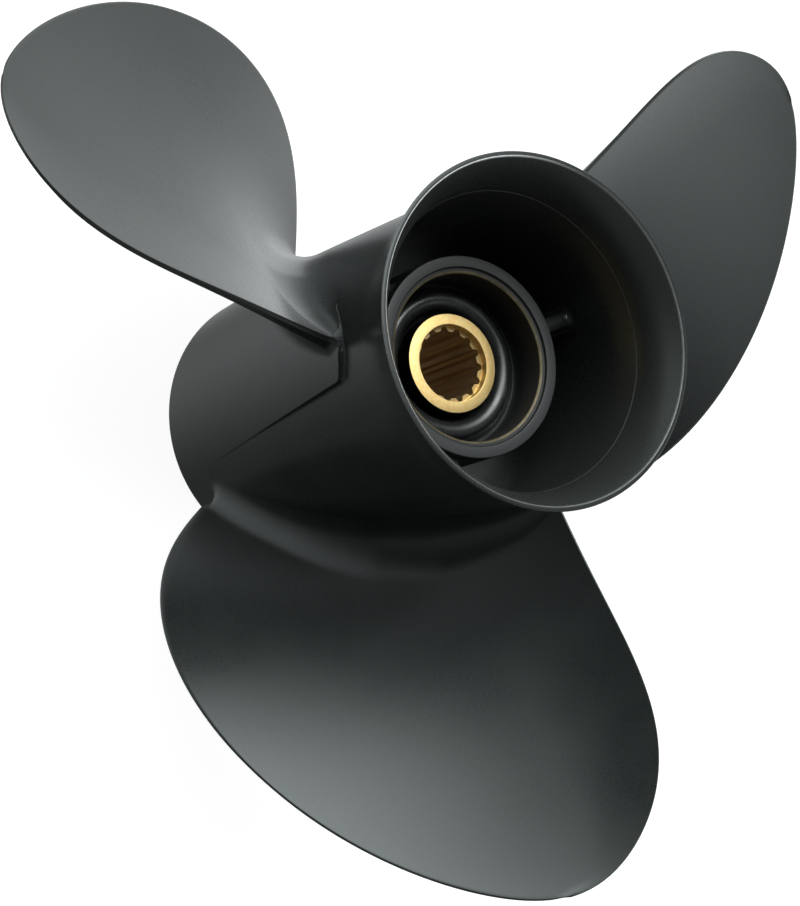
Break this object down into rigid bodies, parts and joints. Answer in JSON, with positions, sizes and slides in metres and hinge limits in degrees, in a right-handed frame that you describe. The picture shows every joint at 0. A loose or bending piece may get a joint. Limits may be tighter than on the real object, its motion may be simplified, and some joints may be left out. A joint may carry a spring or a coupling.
{
  "type": "outboard boat propeller",
  "caption": "Bladed boat propeller for an outboard motor, with a hollow exhaust hub, a flared aft rim, a rubber bush and a splined brass sleeve.",
  "frame": {"origin": "on the shaft axis, in the plane of the hub's front end, which the propeller stands on", "axes": "+Z along the shaft axis, aft, towards the flared rim; the middle of the visible side in the picture is towards -Y"},
  "size_m": [0.3182, 0.3116, 0.172],
  "materials": {
    "hub_barrel_paint": "satin black paint on cast aluminium",
    "blade_1_paint": "satin black paint on cast aluminium",
    "blade_2_paint": "satin black paint on cast aluminium",
    "blade_3_paint": "satin black paint on cast aluminium",
    "hub_rib_1_paint": "satin black paint on cast aluminium",
    "hub_rib_2_paint": "satin black paint on cast aluminium",
    "hub_rib_3_paint": "satin black paint on cast aluminium",
    "inner_hub_paint": "satin black paint on cast aluminium, bare machined bore",
    "bush_rubber": "moulded black rubber, slightly glossy",
    "sleeve_brass": "machined brass"
  },
  "bodies": {
    "root": {"hub_barrel": "hub_barrel_paint", "blade_1": "blade_1_paint", "blade_2": "blade_2_paint", "blade_3": "blade_3_paint", "hub_rib_1": "hub_rib_1_paint", "hub_rib_2": "hub_rib_2_paint", "hub_rib_3": "hub_rib_3_paint", "inner_hub": "inner_hub_paint", "rubber_bush": "bush_rubber", "splined_sleeve": "sleeve_brass"}
  },
  "joints": []
}
